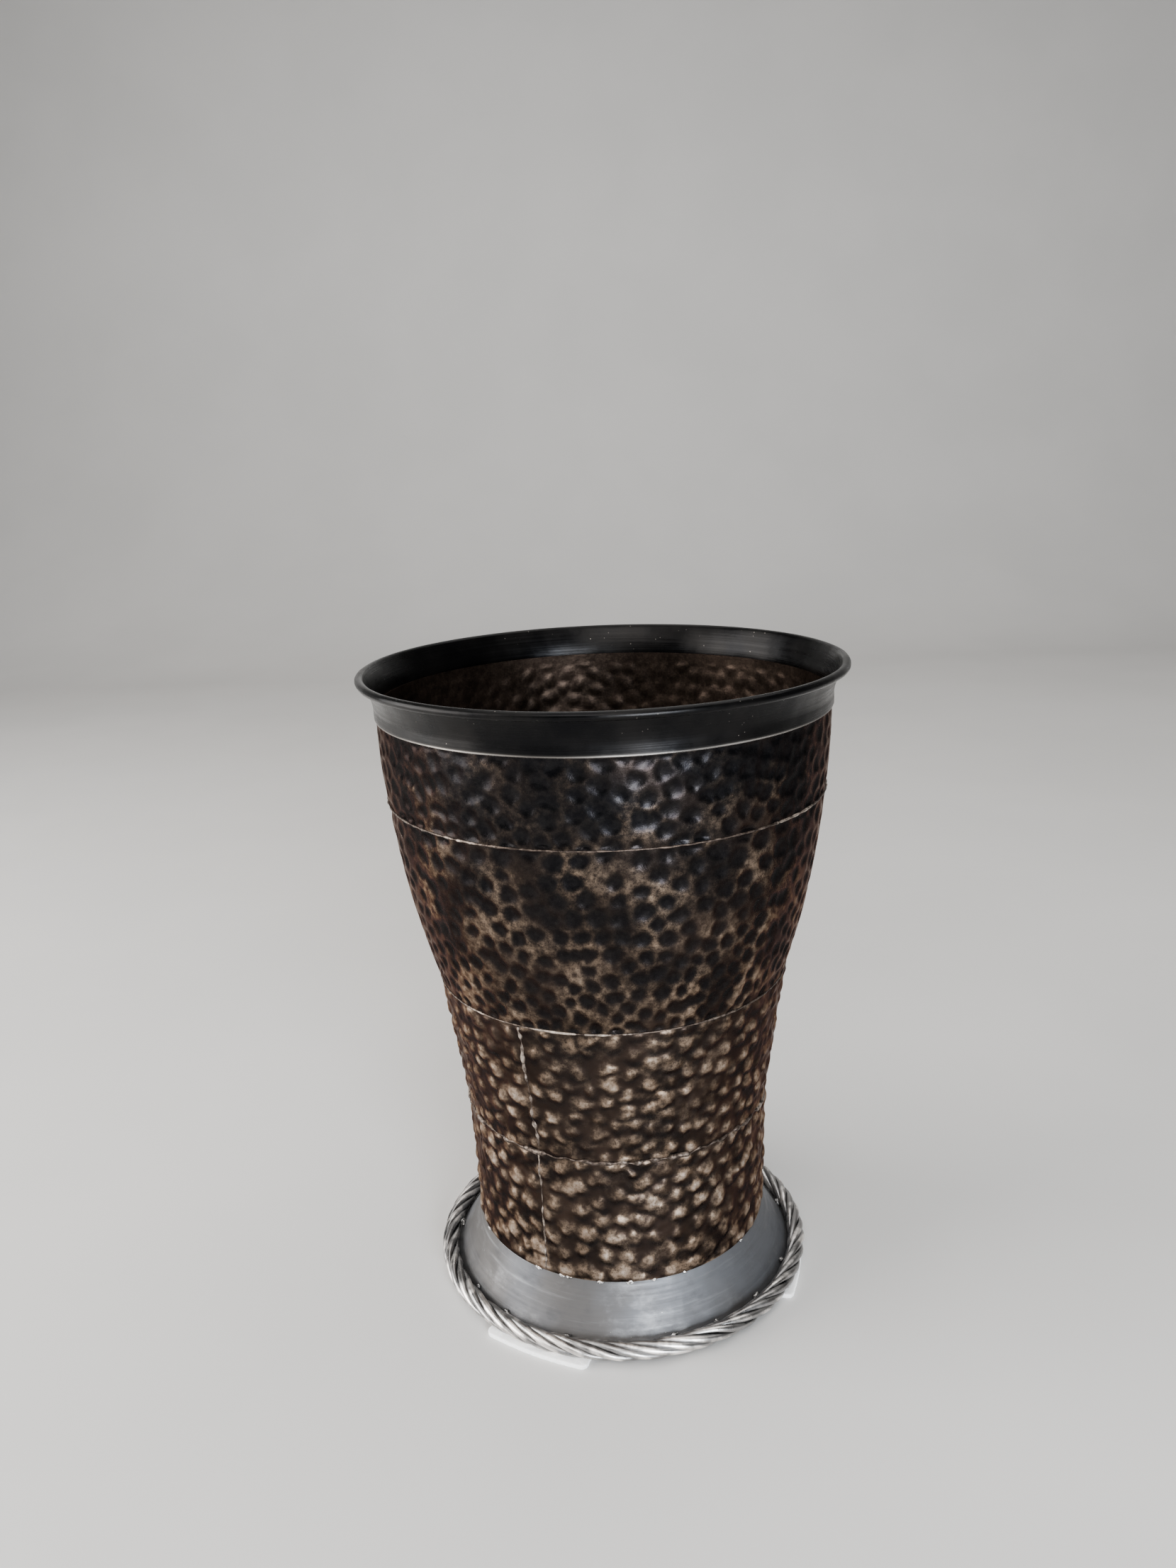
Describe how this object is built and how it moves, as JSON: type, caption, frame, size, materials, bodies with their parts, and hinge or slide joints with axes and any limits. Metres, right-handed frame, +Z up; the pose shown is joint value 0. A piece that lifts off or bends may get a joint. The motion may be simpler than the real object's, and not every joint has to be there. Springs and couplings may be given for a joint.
{
  "type": "hammered metal planter pot",
  "caption": "Tall flared planter pot of hammered dark metal bands with a smooth rolled collar, on a smooth conical foot trimmed with twisted rope wire and felt pads.",
  "frame": {"origin": "on the table under the middle of the pot, in the plane of the felt pads' undersides", "axes": "+Z up along the pot's axis; -Y is the side that faces the camera, with the upright lap joint of the lower bands 30 degrees to its left"},
  "size_m": [0.296, 0.296, 0.4082],
  "materials": {
    "hammered_bronze": "hammered sheet with a dark brown patina and pale worn marks",
    "dark_bronze": "smooth sheet with a near-black satin patina",
    "pewter_grey": "smooth tinned sheet, satin grey",
    "rope_metal": "twisted tinned wire, bright on its crowns and dark in its grooves",
    "solder": "soft solder, lumpy and dull with bright worn spots",
    "white_felt": "pressed white felt"
  },
  "bodies": {
    "root": {"hammered_band_1": "hammered_bronze", "hammered_band_2": "hammered_bronze", "hammered_band_3": "hammered_bronze", "hammered_band_4": "hammered_bronze", "lap_joint_1": "solder", "lap_joint_2": "solder", "lap_joint_3": "solder", "lap_joint_4": "solder", "waist_solder_bead": "solder", "middle_seam_wire": "solder", "shoulder_seam_wire": "solder", "collar": "dark_bronze", "rim_wire": "dark_bronze", "floor_plate": "dark_bronze", "floor_solder": "solder", "foot_skirt": "pewter_grey", "foot_base_ring": "pewter_grey", "foot_solder": "solder", "rope_strand_1": "rope_metal", "rope_strand_2": "rope_metal", "rope_strand_3": "rope_metal", "rope_strand_4": "rope_metal", "rope_strand_5": "rope_metal", "rope_solder": "solder", "felt_pad_1": "white_felt", "felt_pad_2": "white_felt", "felt_pad_3": "white_felt", "felt_pad_4": "white_felt"}
  },
  "joints": []
}
